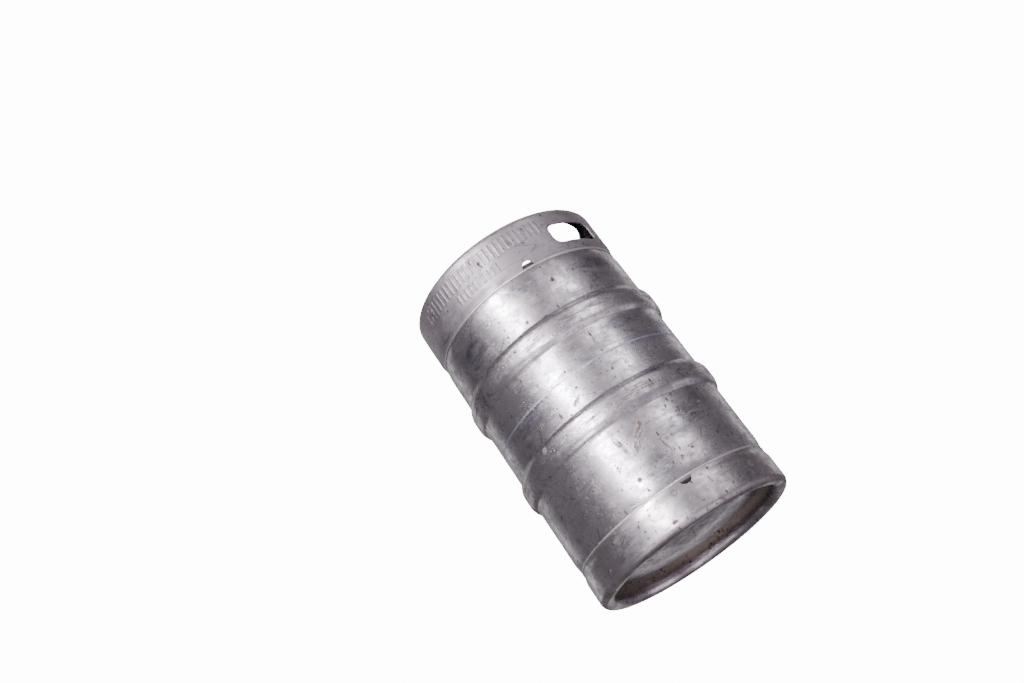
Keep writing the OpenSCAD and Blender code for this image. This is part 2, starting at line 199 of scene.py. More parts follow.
@dataclass(frozen=True)
class WornStainless:
    """Austenitic stainless sheet, deep drawn and pickled, then years of knocks and cellar floors.

    The eye gets a satin grey metal with cloudy handling film, fine turned lines round the axis,
    pits with dark floors, brown rust stains, broken scratches, and the marks that are listed.
    """

    name: str
    steel: str = "#C4BBC4"
    film: str = "#7B747B"
    tint: str = "#8F89A0"
    heat: str = "#5B5868"
    # Dark colour painted as shade in the pocket under the foot joint, where the drain notch looks
    # in.
    caking: str = "#2C2724"
    lining: str = "#8A7C72"
    fresh: str = "#F2EDF1"
    pit: str = "#302A27"
    dug: str = "#463E34"
    rust: str = "#4C352A"
    grime: str = "#5F554C"
    scuffed: str = "#6B6668"
    roughness: float = 0.2
    film_size: float = 62.0
    smear_size: float = 17.0
    drip_size: float = 11.0
    heat_size: float = 7.0
    line_spacing: float = 2.0
    streak_size: float = 2.6
    grit_size: float = 1.6
    ragged_size: float = 3.0
    ragged_reach: float = 5.0
    scratch_size: float = 34.0
    gap_size: float = 24.0
    pit_spacing: float = 10.0
    pit_share: float = 0.5
    pit_radius: float = 0.3
    tick_radius: float = 0.27
    rust_spacing: float = 46.0
    rust_share: float = 0.2
    rust_radius: float = 0.16
    spot_core: float = 0.55
    stained_metal: float = 0.6
    bump_depth: float = 0.25
    grimy: tuple[Band, ...] = ()
    tinted: tuple[Band, ...] = ()
    crests: tuple[Band, ...] = ()
    # Painted shade: bands painted dark where a hollow lies in shade.
    caked: tuple[Band, ...] = ()
    lined: tuple[Band, ...] = ()
    lined_radius: float = 0.0
    marks: tuple[Mark, ...] = ()
    mark_radius: float = 182.5
    mark_depth: float = 40.0
    mark_core: float = 0.35

    def spots(
        self, tree: Tree, place: Socket, spacing: float, share: float, radius: float
    ) -> Socket:
        """Scatters ragged spots, one at most in each cell.

        Args:
            tree: The material's node tree.
            place: The coordinates, in millimetres.
            spacing: The size of a cell, in millimetres.
            share: The share of the cells that hold a spot.
            radius: The radius of the largest spot, as a share of the cell.

        Returns:
            1 inside a spot and 0 outside.
        """
        cells = add(
            tree, "ShaderNodeTexVoronoi", {"Vector": place, "Scale": 1 / spacing}, feature="F1"
        )
        split = add(tree, "ShaderNodeSeparateColor", {0: cells.outputs["Color"]})
        here = add(tree, "ShaderNodeMath", {0: split.outputs[0], 1: share}, operation="LESS_THAN")
        reach = add(
            tree, "ShaderNodeMath", {0: split.outputs[1], 1: radius}, operation="MULTIPLY"
        )
        inner = add(
            tree, "ShaderNodeMath", {0: reach.outputs[0], 1: self.spot_core}, operation="MULTIPLY"
        )
        spot = add(
            tree, "ShaderNodeMapRange",
            {
                "Value": cells.outputs["Distance"], "From Min": reach.outputs[0],
                "From Max": inner.outputs[0], "To Min": 0.0, "To Max": 1.0,
            },
        )
        return add(
            tree, "ShaderNodeMath", {0: spot.outputs[0], 1: here.outputs[0]}, operation="MULTIPLY"
        ).outputs[0]

    def rings(self, tree: Tree, place: Socket, bands: tuple[Band, ...]) -> Socket:
        """Adds up level bands round the axis.

        Args:
            tree: The material's node tree.
            place: The coordinates, in millimetres.
            bands: The bands to add up.

        Returns:
            The bands' strength at each point, from 0 up.
        """
        level = add(tree, "ShaderNodeSeparateXYZ", {0: place}).outputs["Z"]
        total = add(tree, "ShaderNodeMath", {0: 0.0, 1: 0.0}, operation="ADD").outputs[0]
        for band in bands:
            away = add(tree, "ShaderNodeMath", {0: level, 1: band.height}, operation="SUBTRACT")
            far = add(tree, "ShaderNodeMath", {0: away.outputs[0]}, operation="ABSOLUTE")
            fade = add(
                tree, "ShaderNodeMapRange",
                {
                    "Value": far.outputs[0], "From Min": 0.0, "From Max": band.reach,
                    "To Min": band.strength, "To Max": 0.0,
                },
                interpolation_type="SMOOTHSTEP",
            )
            total = add(
                tree, "ShaderNodeMath", {0: fade.outputs[0], 1: total}, operation="ADD"
            ).outputs[0]
        return total

    def within(self, tree: Tree, place: Socket, radius: float) -> Socket:
        """Tells the inside of a sheet from its outside.

        Args:
            tree: The material's node tree.
            place: The coordinates, in millimetres.
            radius: The radius half way through the sheet.

        Returns:
            1 nearer to the axis than the radius, and 0 beyond it.
        """
        flat = add(
            tree, "ShaderNodeVectorMath", {0: place, 1: (1.0, 1.0, 0.0)}, operation="MULTIPLY"
        )
        out = add(tree, "ShaderNodeVectorMath", {0: flat.outputs[0]}, operation="LENGTH")
        return add(
            tree, "ShaderNodeMath", {0: out.outputs["Value"], 1: radius}, operation="LESS_THAN"
        ).outputs[0]

    def placed(self, tree: Tree, place: Socket, kind: Kind) -> Socket:
        """Draws all the listed marks of one kind.

        Args:
            tree: The material's node tree.
            place: The coordinates, in millimetres.
            kind: The kind of mark.

        Returns:
            The marks' strength at each point, from 0 to 1.
        """
        total = add(tree, "ShaderNodeMath", {0: 0.0, 1: 0.0}, operation="ADD").outputs[0]
        for mark in (m for m in self.marks if m.kind is kind):
            turn, radius = math.radians(mark.azimuth), self.mark_radius
            local = add(
                tree, "ShaderNodeMapping",
                {
                    "Vector": place,
                    "Location": (radius * math.cos(turn), radius * math.sin(turn), mark.height),
                    "Rotation": (math.radians(mark.lean), 0.0, turn),
                    "Scale": (self.mark_depth, mark.width, mark.rise),
                },
                vector_type="TEXTURE",
            ).outputs[0]
            away = add(tree, "ShaderNodeVectorMath", {0: local}, operation="LENGTH")
            mask = add(
                tree, "ShaderNodeMapRange",
                {
                    "Value": away.outputs["Value"], "From Min": 1.0,
                    "From Max": self.mark_core, "To Min": 0.0, "To Max": 1.0,
                },
                interpolation_type="SMOOTHSTEP",
            ).outputs[0]
            if kind is Kind.HEAT:
                flat = add(
                    tree, "ShaderNodeVectorMath", {0: place, 1: (0.25, 0.25, 1.0)},
                    operation="MULTIPLY",
                )
                film = add(
                    tree, "ShaderNodeTexNoise",
                    {
                        "Vector": flat.outputs[0], "Scale": 1 / self.heat_size,
                        "Detail": 5.0, "Roughness": 0.7,
                    },
                )
                thick = add(
                    tree, "ShaderNodeMapRange",
                    {"Value": film.outputs[0], "From Min": 0.38, "From Max": 0.6},
                )
                mask = add(
                    tree, "ShaderNodeMath", {0: mask, 1: thick.outputs[0]}, operation="MULTIPLY"
                ).outputs[0]
            if kind in (Kind.GOUGE, Kind.FRESH):
                along = add(
                    tree, "ShaderNodeVectorMath",
                    {0: local, 1: (1.0, mark.width / 1.6, mark.rise / 9.0)}, operation="MULTIPLY",
                )
                strokes = add(
                    tree, "ShaderNodeTexNoise",
                    {"Vector": along.outputs[0], "Scale": 1.0, "Detail": 3.0, "Roughness": 0.6},
                )
                least = 0.42 if kind is Kind.GOUGE else 0.54
                cut = add(
                    tree, "ShaderNodeMapRange",
                    {"Value": strokes.outputs[0], "From Min": least, "From Max": least + 0.1},
                )
                mask = add(
                    tree, "ShaderNodeMath", {0: mask, 1: cut.outputs[0]}, operation="MULTIPLY"
                ).outputs[0]
            total = add(
                tree, "ShaderNodeMath", {0: total, 1: mask}, operation="MAXIMUM"
            ).outputs[0]
        return total

    def material(self) -> Material:
        """Builds the finish.

        Returns:
            The material.
        """
        material, tree, place = new_material(self.name)
        film = add(
            tree, "ShaderNodeTexNoise",
            {"Vector": place, "Scale": 1 / self.film_size, "Detail": 6.0, "Roughness": 0.62},
        )
        cloud = add(
            tree, "ShaderNodeMapRange",
            {"Value": film.outputs[0], "From Min": 0.4, "From Max": 0.62},
        )
        # Films left by rolling and washing are drawn out round the keg.
        drawn = add(
            tree, "ShaderNodeVectorMath", {0: place, 1: (0.3, 0.3, 1.0)}, operation="MULTIPLY"
        )
        smears = add(
            tree, "ShaderNodeTexNoise",
            {
                "Vector": drawn.outputs[0], "Scale": 1 / self.smear_size,
                "Detail": 7.0, "Roughness": 0.7,
            },
        )
        smear = add(
            tree, "ShaderNodeMapRange",
            {"Value": smears.outputs[0], "From Min": 0.5, "From Max": 0.66},
        ).outputs[0]
        # Lines left by spinning and rolling run round the axis; they are under 0.2 mm apart, so
        # they are drawn wider apart here.
        flat = add(
            tree, "ShaderNodeVectorMath", {0: place, 1: (0.02, 0.02, 1.0)}, operation="MULTIPLY"
        )
        lines = add(
            tree, "ShaderNodeTexNoise",
            {
                "Vector": flat.outputs[0], "Scale": 1 / self.line_spacing,
                "Detail": 4.0, "Roughness": 0.7,
            },
        )
        ragged = add(
            tree, "ShaderNodeTexNoise",
            {"Vector": place, "Scale": 1 / self.ragged_size, "Detail": 3.0},
        )
        push = add(
            tree, "ShaderNodeVectorMath", {0: ragged.outputs["Color"], 1: PUSH_MIDDLE},
            operation="SUBTRACT",
        )
        shifted = add(
            tree, "ShaderNodeVectorMath",
            {0: push.outputs[0], 1: (self.ragged_reach,) * 3, 2: place}, operation="MULTIPLY_ADD",
        ).outputs[0]
        pits = self.spots(tree, shifted, self.pit_spacing, self.pit_share, self.pit_radius)
        # Short dark ticks that lean two ways.
        ticks: list[Socket] = []
        for lean, size in ((0.7, 0.5), (-0.45, 0.62)):
            leaning = add(
                tree, "ShaderNodeMapping",
                {"Vector": shifted, "Rotation": (lean, 0.3, lean), "Scale": (0.8, 0.8, 0.3)},
            ).outputs[0]
            spacing = self.pit_spacing * size
            ticks.append(self.spots(tree, leaning, spacing, self.pit_share, self.tick_radius))
        flecks = add(
            tree, "ShaderNodeMath", {0: ticks[0], 1: ticks[1]}, operation="MAXIMUM"
        ).outputs[0]
        rust = self.spots(tree, shifted, self.rust_spacing, self.rust_share, self.rust_radius)
        # Old drips and handling marks a centimetre across.
        mottle = add(
            tree, "ShaderNodeTexNoise",
            {
                "Vector": shifted, "Scale": 1 / self.drip_size,
                "Detail": 6.0, "Roughness": 0.68,
            },
        )
        drips = add(
            tree, "ShaderNodeMapRange",
            {"Value": mottle.outputs[0], "From Min": 0.46, "From Max": 0.66},
        ).outputs[0]
        # Scratches are the borders of long cells, broken up where a coarse noise is low.
        tilted = add(
            tree, "ShaderNodeMapping",
            {"Vector": shifted, "Rotation": (0.5, 0.35, 0.2), "Scale": (0.35, 0.35, 1.6)},
        )
        cells = add(
            tree, "ShaderNodeTexVoronoi",
            {"Vector": tilted.outputs[0], "Scale": 1 / self.scratch_size},
            feature="DISTANCE_TO_EDGE",
        )
        thin = add(
            tree, "ShaderNodeMapRange",
            {"Value": cells.outputs["Distance"], "From Min": 0.026, "From Max": 0.01},
        )
        gaps = add(
            tree, "ShaderNodeTexNoise",
            {"Vector": place, "Scale": 1 / self.gap_size, "Detail": 2.0},
        )
        keep = add(
            tree, "ShaderNodeMapRange",
            {"Value": gaps.outputs[0], "From Min": 0.5, "From Max": 0.56},
        )
        scratch = add(
            tree, "ShaderNodeMath", {0: thin.outputs[0], 1: keep.outputs[0]}, operation="MULTIPLY"
        ).outputs[0]
        # Scuffed patches: grit dragged over the steel, drawn coarser than it is.
        patch = add(
            tree, "ShaderNodeMapRange",
            {"Value": gaps.outputs[0], "From Min": 0.46, "From Max": 0.4},
        )
        grit = add(
            tree, "ShaderNodeTexNoise",
            {
                "Vector": shifted, "Scale": 1 / self.grit_size,
                "Detail": 4.0, "Roughness": 0.7,
            },
        )
        coarse = add(
            tree, "ShaderNodeMapRange",
            {"Value": grit.outputs[0], "From Min": 0.54, "From Max": 0.62},
        )
        scuff = add(
            tree, "ShaderNodeMath", {0: patch.outputs[0], 1: coarse.outputs[0]},
            operation="MULTIPLY",
        ).outputs[0]
        grime = add(
            tree, "ShaderNodeMath",
            {0: self.rings(tree, place, self.grimy), 1: cloud.outputs[0]}, operation="MULTIPLY",
        ).outputs[0]
        tinted = self.rings(tree, place, self.tinted)
        # Crests that have rolled over concrete: long dark and bright streaks round the keg.
        streaky = add(
            tree, "ShaderNodeVectorMath", {0: shifted, 1: (0.07, 0.07, 1.0)}, operation="MULTIPLY"
        )
        streaks = add(
            tree, "ShaderNodeTexNoise",
            {
                "Vector": streaky.outputs[0], "Scale": 1 / self.streak_size,
                "Detail": 4.0, "Roughness": 0.65,
            },
        )
        dark = add(
            tree, "ShaderNodeMapRange",
            {"Value": streaks.outputs[0], "From Min": 0.49, "From Max": 0.58},
        )
        crest = self.rings(tree, place, self.crests)
        # Painted shade: the band under the foot joint, seen through the drain notch, is painted
        # dark.
        caked = self.rings(tree, place, self.caked)
        lined = add(
            tree, "ShaderNodeMath",
            {
                0: self.rings(tree, place, self.lined),
                1: self.within(tree, place, self.lined_radius),
            },
            operation="MULTIPLY", use_clamp=True,
        ).outputs[0]
        heat, gouge, fresh, spot = (
            self.placed(tree, shifted, kind)
            for kind in (Kind.HEAT, Kind.GOUGE, Kind.FRESH, Kind.RUST)
        )
        worn = add(
            tree, "ShaderNodeMath", {0: dark.outputs[0], 1: crest}, operation="MULTIPLY"
        ).outputs[0]

        colour = add(
            tree, "ShaderNodeMix",
            {0: cloud.outputs[0], 6: linear(self.steel), 7: linear(self.film)}, data_type="RGBA",
        ).outputs[2]
        layers = (
            (drips, self.film, 0.8), (smear, self.film, 0.75), (tinted, self.tint, 0.7),
            (heat, self.heat, 0.75), (lined, self.lining, 0.85), (grime, self.grime, 1.0),
            (scuff, self.scuffed, 0.8), (worn, self.pit, 0.6), (fresh, self.fresh, 0.9),
            (scratch, self.pit, 0.4), (rust, self.rust, 0.85), (spot, self.rust, 0.9),
            (flecks, self.pit, 0.9), (pits, self.pit, 0.8), (gouge, self.dug, 0.9),
            # The last layer is painted shade, laid over all the others.
            (caked, self.caking, 1.0),
        )
        for mask, shade, strength in layers:
            weight = add(
                tree, "ShaderNodeMath", {0: mask, 1: strength}, operation="MULTIPLY", use_clamp=True
            )
            colour = add(
                tree, "ShaderNodeMix", {0: weight.outputs[0], 6: colour, 7: linear(shade)},
                data_type="RGBA",
            ).outputs[2]
        rough: Socket | float = self.roughness
        for mask, amount in (
            (cloud.outputs[0], 0.12), (drips, 0.1), (smear, 0.1), (lines.outputs[0], 0.08),
            (scuff, 0.12), (rust, 0.35), (spot, 0.3), (pits, 0.3), (flecks, 0.2), (grime, 0.2),
            (worn, 0.15), (gouge, 0.3), (fresh, 0.1), (lined, 0.2), (caked, 0.3),
        ):
            rough = add(
                tree, "ShaderNodeMath", {0: mask, 1: amount, 2: rough}, operation="MULTIPLY_ADD"
            ).outputs[0]
        stain: Socket | float = 0.0
        # Rust, the lining and the painted shade all lower the metallic value.
        for mask in (rust, spot, lined, caked):
            stain = add(
                tree, "ShaderNodeMath", {0: mask, 1: stain}, operation="MAXIMUM", use_clamp=True
            ).outputs[0]
        metallic = add(
            tree, "ShaderNodeMapRange",
            {
                "Value": stain, "From Min": 0.0, "From Max": 1.0,
                "To Min": 1.0, "To Max": self.stained_metal,
            },
        )
        height: Socket | float = 0.0
        for mask, amount in (
            (lines.outputs[0], 0.13), (film.outputs[0], 0.6), (mottle.outputs[0], 0.5),
            (scuff, -0.18), (scratch, -0.35), (pits, -0.3), (rust, -0.15), (worn, -0.3),
            (gouge, -0.5), (fresh, -0.2),
        ):
            height = add(
                tree, "ShaderNodeMath", {0: mask, 1: amount, 2: height}, operation="MULTIPLY_ADD"
            ).outputs[0]
        close_material(
            tree,
            {"Base Color": colour, "Roughness": rough, "Metallic": metallic.outputs[0]},
            height, self.bump_depth,
        )
        return material


@dataclass(frozen=True)
class WeldBead:
    """Stainless weld bead, brushed once: dull, faintly blue and straw, with stacked ripples."""

    name: str
    steel: str
    oxide: str
    roughness: float = 0.42
    heat_size: float = 18.0
    ripple: float = 2.4
    bump_depth: float = 0.5

    def material(self) -> Material:
        """Builds the finish.

        Returns:
            The material.
        """
        material, tree, place = new_material(self.name)
        heat = add(
            tree, "ShaderNodeTexNoise",
            {"Vector": place, "Scale": 1 / self.heat_size, "Detail": 4.0},
        )
        ripples = add(
            tree, "ShaderNodeTexNoise", {"Vector": place, "Scale": 1 / self.ripple, "Detail": 3.0}
        )
        spread = add(
            tree, "ShaderNodeMapRange",
            {"Value": heat.outputs[0], "From Min": 0.4, "From Max": 0.65},
        )
        colour = add(
            tree, "ShaderNodeMix",
            {0: spread.outputs[0], 6: linear(self.steel), 7: linear(self.oxide)}, data_type="RGBA",
        )
        rough = add(
            tree, "ShaderNodeMath", {0: heat.outputs[0], 1: 0.15, 2: self.roughness},
            operation="MULTIPLY_ADD",
        )
        close_material(
            tree,
            {"Base Color": colour.outputs[2], "Roughness": rough.outputs[0], "Metallic": 1.0},
            ripples.outputs[0], self.bump_depth,
        )
        return material


@dataclass(frozen=True)
class TurnedSteel:
    """Bar steel turned on a lathe: fine rings round the axis, a soft sheen and a little film."""

    name: str
    steel: str = "#BDBBBE"
    film: str = "#8E8A88"
    roughness: float = 0.26
    film_size: float = 14.0
    ring: float = 1.2
    bump_depth: float = 0.02

    def material(self) -> Material:
        """Builds the finish.

        Returns:
            The material.
        """
        material, tree, place = new_material(self.name)
        # A lathe's feed marks are about 0.1 mm apart, so they are drawn wider to show.
        waves = add(
            tree, "ShaderNodeTexWave",
            {"Vector": place, "Scale": 1 / (self.ring * 3.2), "Distortion": 1.5, "Detail": 3.0},
            wave_type="RINGS", rings_direction="Z",
        )
        film = add(
            tree, "ShaderNodeTexNoise",
            {"Vector": place, "Scale": 1 / self.film_size, "Detail": 5.0},
        )
        cloud = add(
            tree, "ShaderNodeMapRange",
            {"Value": film.outputs[0], "From Min": 0.42, "From Max": 0.7},
        )
        colour = add(
            tree, "ShaderNodeMix",
            {0: cloud.outputs[0], 6: linear(self.steel), 7: linear(self.film)}, data_type="RGBA",
        )
        rough = add(
            tree, "ShaderNodeMath", {0: film.outputs[0], 1: 0.18, 2: self.roughness},
            operation="MULTIPLY_ADD",
        )
        close_material(
            tree,
            {"Base Color": colour.outputs[2], "Roughness": rough.outputs[0], "Metallic": 1.0},
            waves.outputs[0], self.bump_depth,
        )
        return material


@dataclass(frozen=True)
class MouldedRubber:
    """Black nitrile rubber, moulded: near matt, with a bloom of pale dust and a fine grain."""

    name: str
    rubber: str = "#1D1C1B"
    bloom: str = "#3A3835"
    roughness: float = 0.55
    dust_size: float = 7.0
    grain_size: float = 0.8
    bump_depth: float = 0.06

    def material(self) -> Material:
        """Builds the finish.

        Returns:
            The material.
        """
        material, tree, place = new_material(self.name)
        dust = add(
            tree, "ShaderNodeTexNoise",
            {"Vector": place, "Scale": 1 / self.dust_size, "Detail": 5.0},
        )
        grain = add(
            tree, "ShaderNodeTexNoise",
            {"Vector": place, "Scale": 1 / self.grain_size, "Detail": 2.0},
        )
        spread = add(
            tree, "ShaderNodeMapRange",
            {"Value": dust.outputs[0], "From Min": 0.45, "From Max": 0.75},
        )
        colour = add(
            tree, "ShaderNodeMix",
            {0: spread.outputs[0], 6: linear(self.rubber), 7: linear(self.bloom)}, data_type="RGBA",
        )
        rough = add(
            tree, "ShaderNodeMath", {0: dust.outputs[0], 1: 0.2, 2: self.roughness},
            operation="MULTIPLY_ADD",
        )
        close_material(
            tree, {"Base Color": colour.outputs[2], "Roughness": rough.outputs[0]},
            grain.outputs[0], self.bump_depth,
        )
        return material


# ------------------------------------------------------------ shaping tools


def arc(x: float, y: float, radius: float, start: float, end: float, steps: int = 6) -> list[Point]:
    """Points on an arc.

    Args:
        x: The centre's first coordinate.
        y: The centre's second coordinate.
        radius: The arc's radius.
        start: The first angle, in degrees.
        end: The last angle, in degrees.
        steps: The number of steps along the arc.

    Returns:
        The points, both ends included.
    """
    turns = (math.radians(start + (end - start) * i / steps) for i in range(steps + 1))
    return [(x + radius * math.cos(t), y + radius * math.sin(t)) for t in turns]


def run(start: Point, end: Point, spacing: float) -> list[Point]:
    """Points inside a straight run, so that a plain wall can take dents.

    Args:
        start: The point before the run.
        end: The point after the run.
        spacing: The largest step between points.

    Returns:
        The points strictly between the two ends.
    """
    count = max(1, math.ceil(math.dist(start, end) / spacing))
    return [
        (start[0] + (end[0] - start[0]) * i / count, start[1] + (end[1] - start[1]) * i / count)
        for i in range(1, count)
    ]


def filled(points: list[Point], spacing: float) -> list[Point]:
    """Adds points along a profile's long runs.

    Args:
        points: The profile.
        spacing: The largest step between points.

    Returns:
        The profile with its long runs divided.
    """
    out = [points[0]]
    for before, after in zip(points, points[1:]):
        if math.dist(before, after) > SAME:
            out += run(before, after, spacing) + [after]
    return out


def only(piece: Piece) -> None:
    """Selects one piece and makes it active.

    Args:
        piece: The piece.
    """
    bpy.ops.object.select_all(action="DESELECT")
    bpy.context.view_layer.objects.active = piece
    piece.select_set(True)


def begin(name: str) -> Piece:
    """Names the primitive that was just added, and opens it in edit mode with all of it selected.

    Args:
        name: The piece's name.

    Returns:
        The piece.
    """
    piece = bpy.context.object
    piece.name = piece.data.name = name
    bpy.ops.object.mode_set(mode="EDIT")
    bpy.ops.mesh.select_all(action="SELECT")
    return piece


def end() -> None:
    """Closes edit mode and deselects everything."""
    bpy.ops.object.mode_set(mode="OBJECT")
    bpy.ops.object.select_all(action="DESELECT")


def pick(piece: Piece, part: str, rule: Callable[..., bool]) -> None:
    """Opens a piece in edit mode with just the faces or edges selected that a rule names.

    Args:
        piece: The piece.
        part: "FACE" or "EDGE".
        rule: Whether a face or an edge is selected.
    """
    bpy.context.view_layer.objects.active = piece
    bpy.ops.object.mode_set(mode="EDIT")
    bpy.ops.mesh.select_mode(type=part)
    bpy.ops.mesh.select_all(action="DESELECT")
    bpy.ops.object.mode_set(mode="OBJECT")
    for item in piece.data.polygons if part == "FACE" else piece.data.edges:
        item.select = rule(item)
    bpy.ops.object.mode_set(mode="EDIT")


def draw(name: str, points: list[Point]) -> Piece:
    """Draws a profile in the XZ plane, one extruded vertex after another.

    Args:
        name: The piece's name.
        points: The profile as radius and height.

    Returns:
        The piece, in edit mode with all of it selected.
    """
    bpy.ops.object.select_all(action="DESELECT")
    bpy.ops.mesh.primitive_plane_add(size=0.01)
    piece = begin(name)
    bpy.ops.mesh.merge(type="CENTER")
    bpy.ops.transform.translate(value=(points[0][0] * MM, 0, points[0][1] * MM))
    for before, after in zip(points, points[1:]):
        step = ((after[0] - before[0]) * MM, 0, (after[1] - before[1]) * MM)
        bpy.ops.mesh.extrude_vertices_move(TRANSFORM_OT_translate={"value": step})
    bpy.ops.mesh.select_all(action="SELECT")
    return piece


def turned(name: str, points: list[Point], steps: int, closed: bool = False) -> Piece:
    """Spins a profile round the keg's axis.

    Args:
        name: The piece's name.
        points: The profile as radius and height.
        steps: The number of steps round the axis.
        closed: Whether the profile's last point joins its first.

    Returns:
        The piece, in object mode.
    """
    piece = draw(name, points)
    if closed:
        bpy.ops.mesh.select_all(action="DESELECT")
        bpy.ops.object.mode_set(mode="OBJECT")
        piece.data.vertices[0].select = True
        piece.data.vertices[len(points) - 1].select = True
        bpy.ops.object.mode_set(mode="EDIT")
        bpy.ops.mesh.edge_face_add()
        bpy.ops.mesh.select_all(action="SELECT")
    bpy.ops.mesh.spin(steps=steps, angle=math.tau, center=(0, 0, 0), axis=(0, 0, 1))
    bpy.ops.mesh.select_all(action="SELECT")
    bpy.ops.mesh.remove_doubles(threshold=WELD_REACH * MM)
    bpy.ops.mesh.normals_make_consistent(inside=False)
    end()
    return piece


def apply(piece: Piece, kind: str, **settings) -> None:
    """Adds a modifier and applies it.

    Args:
        piece: The piece that is changed.
        kind: Blender's name of the modifier type.
        **settings: The modifier's own properties.
    """
    only(piece)
    bpy.ops.object.modifier_add(type=kind)
    modifier = piece.modifiers[-1]
    for name, value in settings.items():
        setattr(modifier, name, value)
    bpy.ops.object.modifier_apply(modifier=modifier.name)
    bpy.ops.object.select_all(action="DESELECT")


def uneven(piece: Piece, size: float, amount: float) -> None:
    """Makes a sheet gently uneven, as drawn and knocked steel is.

    Args:
        piece: The piece that is changed.
        size: The width of a hollow.
        amount: The full height of the unevenness.
    """
    clouds = bpy.data.textures.new(f"{piece.name}_clouds", type="CLOUDS")
    clouds.noise_scale = size * MM
    clouds.noise_depth = 2
    settings = {"texture": clouds, "texture_coords": "LOCAL", "mid_level": 0.5}
    apply(piece, "DISPLACE", strength=amount * MM, **settings)
    bpy.data.textures.remove(clouds)


def smooth(piece: Piece, angle: float = 35.0) -> None:
    """Shades a piece smooth, but for its sharp edges.

    Args:
        piece: The piece that is shaded.
        angle: The angle from which an edge is sharp, in degrees.
    """
    only(piece)
    bpy.ops.object.shade_smooth_by_angle(angle=math.radians(angle))
    bpy.ops.object.select_all(action="DESELECT")


def dress(piece: Piece, material: Material, slot: Slot, body: Body, *nodes: str) -> None:
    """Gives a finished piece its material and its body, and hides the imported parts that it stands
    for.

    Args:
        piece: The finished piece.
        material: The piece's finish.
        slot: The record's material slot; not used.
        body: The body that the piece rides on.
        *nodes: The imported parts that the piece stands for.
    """
    piece.data.materials.clear()
    piece.data.materials.append(material)
    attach(piece, body.value)
    if nodes:
        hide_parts(*nodes)
    LOG.info("%s: %d faces", piece.name, len(piece.data.polygons))


# -------------------------------------------------------------- the vessel


